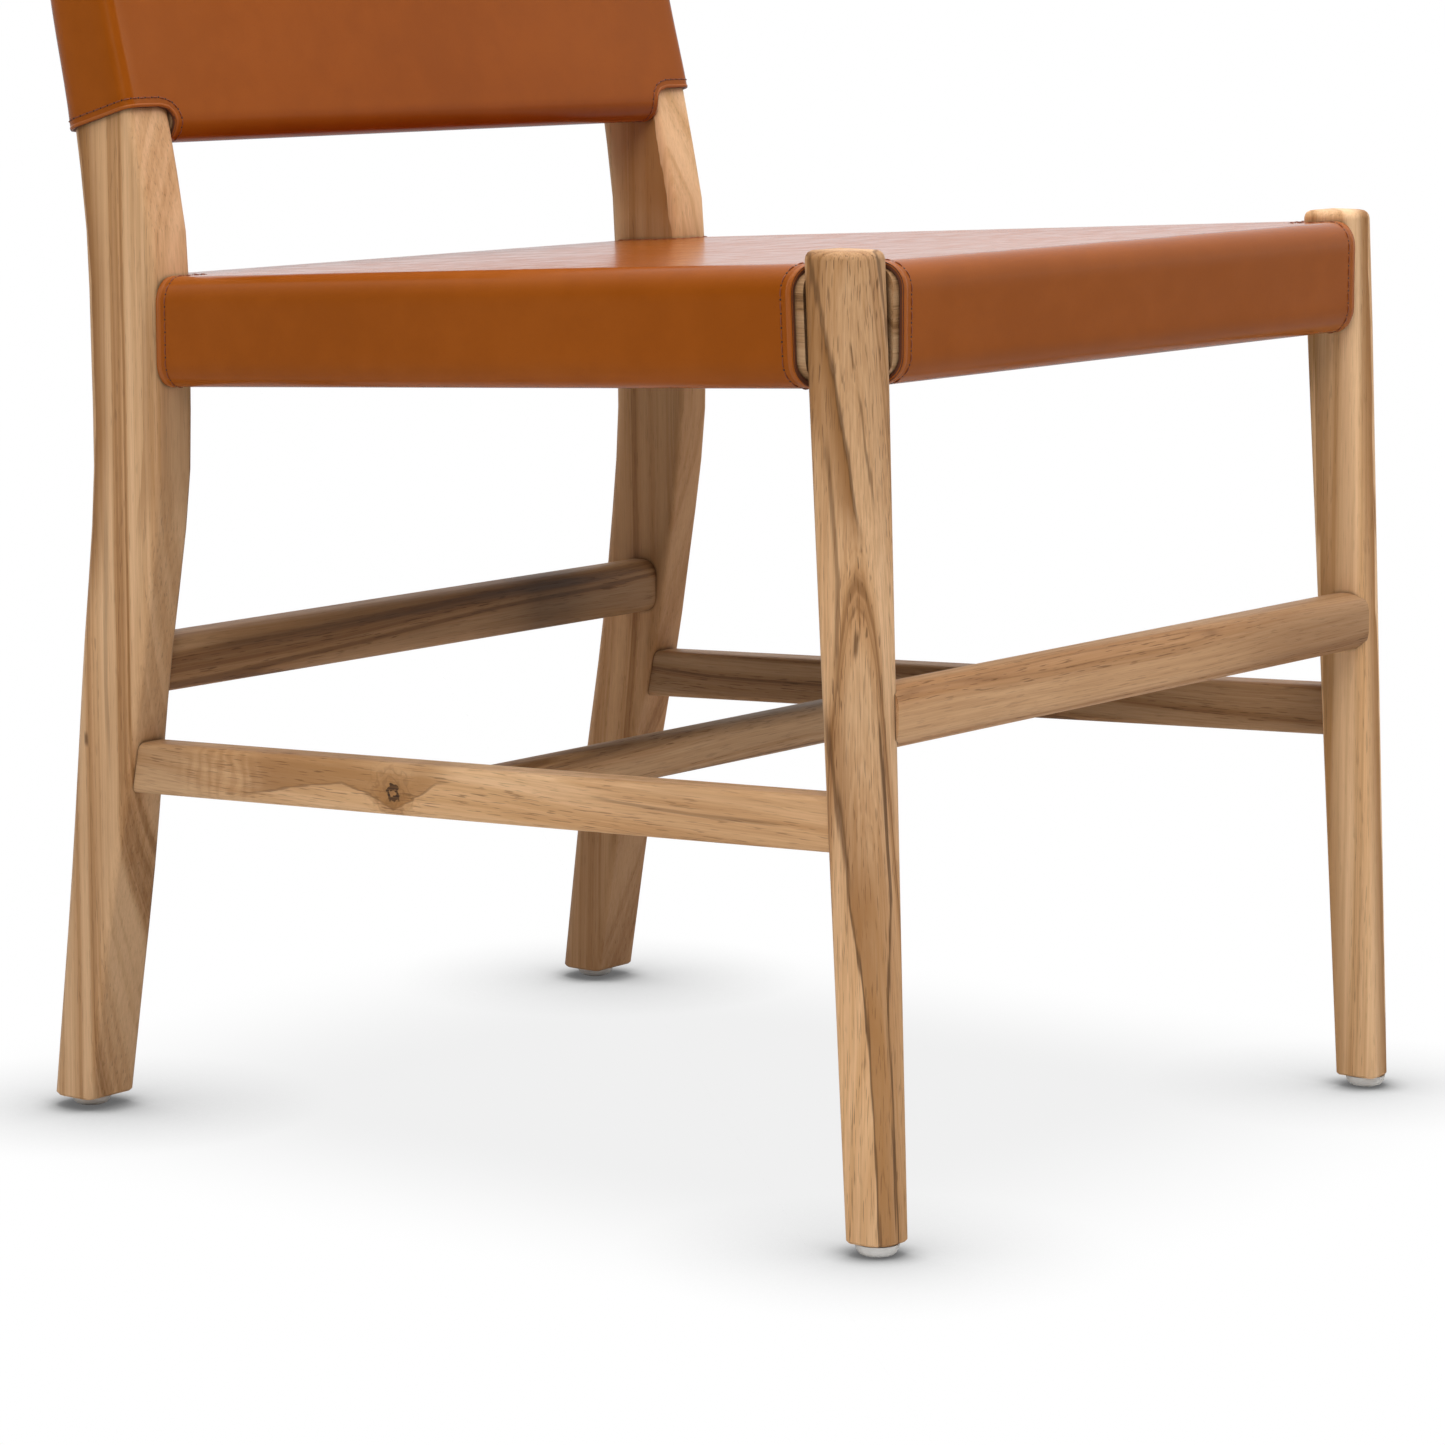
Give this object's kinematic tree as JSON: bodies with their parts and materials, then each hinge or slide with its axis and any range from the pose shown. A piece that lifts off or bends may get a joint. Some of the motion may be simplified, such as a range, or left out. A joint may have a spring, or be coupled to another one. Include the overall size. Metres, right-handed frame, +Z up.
{
  "type": "dining chair",
  "caption": "Dining chair with a teak frame, tapered raked front legs, curved back posts, stretchers on all sides, and a stitched leather seat and back.",
  "frame": {"origin": "on the floor under the middle of the chair's bounding box", "axes": "+Z up; -Y is the way a sitter faces (the chair's front); +X is across the chair, the sitter's left"},
  "size_m": [0.4848, 0.5676, 0.805],
  "materials": {
    "teak": "bare-looking honey-brown teak with a matt oiled surface, fine grain along each member, dark streaks and small knots",
    "leather": "smooth tan saddle leather with a satin top coat and dark brown stitching",
    "foam": "dense pad under the leather, not seen",
    "webbing": "black woven upholstery webbing, not seen",
    "dust_cloth": "thin black bottom cloth",
    "nylon": "light grey nylon",
    "steel": "bright zinc-plated steel"
  },
  "bodies": {
    "root": {"back_leather": "leather", "back_pad": "foam", "corner_block_front_left": "teak", "corner_block_front_left_screw_end": "steel", "corner_block_front_left_screw_side": "steel", "corner_block_front_right": "teak", "corner_block_front_right_screw_end": "steel", "corner_block_front_right_screw_side": "steel", "corner_block_rear_left": "teak", "corner_block_rear_left_screw_end": "steel", "corner_block_rear_left_screw_side": "steel", "corner_block_rear_right": "teak", "corner_block_rear_right_screw_end": "steel", "corner_block_rear_right_screw_side": "steel", "dust_cover": "dust_cloth", "front_leg_left": "teak", "front_leg_right": "teak", "front_seat_rail": "teak", "front_stretcher": "teak", "glide_front_left": "nylon", "glide_front_left_nail": "steel", "glide_front_right": "nylon", "glide_front_right_nail": "steel", "glide_rear_left": "nylon", "glide_rear_left_nail": "steel", "glide_rear_right": "nylon", "glide_rear_right_nail": "steel", "lower_back_rail": "teak", "middle_stretcher": "teak", "rear_leg_left": "teak", "rear_leg_right": "teak", "rear_seat_rail": "teak", "rear_stretcher": "teak", "seat_leather": "leather", "seat_pad": "foam", "seat_strap_1": "webbing", "seat_strap_2": "webbing", "seat_strap_3": "webbing", "seat_strap_4": "webbing", "seat_strap_5": "webbing", "side_seat_rail_left": "teak", "side_seat_rail_right": "teak", "side_stretcher_left": "teak", "side_stretcher_right": "teak", "upper_back_rail": "teak"}
  },
  "joints": []
}
